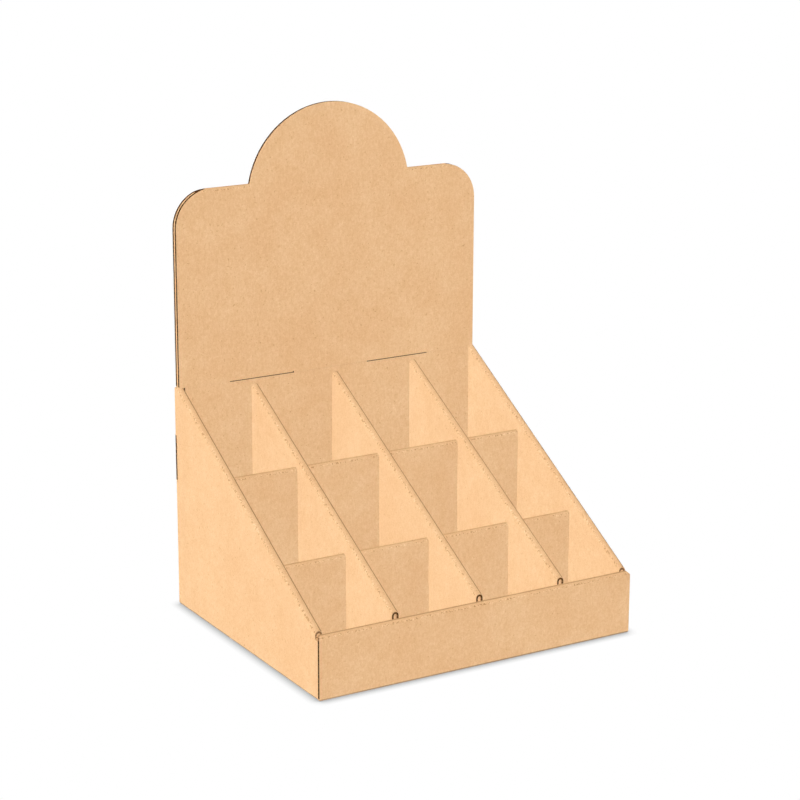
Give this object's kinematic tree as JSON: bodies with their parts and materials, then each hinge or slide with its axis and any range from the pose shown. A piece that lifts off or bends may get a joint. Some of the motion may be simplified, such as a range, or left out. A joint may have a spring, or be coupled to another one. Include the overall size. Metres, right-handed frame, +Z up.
{
  "type": "cardboard counter display",
  "caption": "Kraft corrugated counter display with a sloping pocket grid, a low front lip and a tall arched header.",
  "frame": {"origin": "on the ground under the middle of the footprint", "axes": "+X to the viewer's right, +Y from the front lip towards the header, +Z up"},
  "size_m": [0.2504, 0.2126, 0.3599],
  "materials": {
    "kraft_board": "matte kraft liner"
  },
  "bodies": {
    "root": {"tray": "kraft_board", "divider_left": "kraft_board", "divider_middle": "kraft_board", "divider_right": "kraft_board", "riser_front": "kraft_board", "riser_back": "kraft_board"}
  },
  "joints": []
}
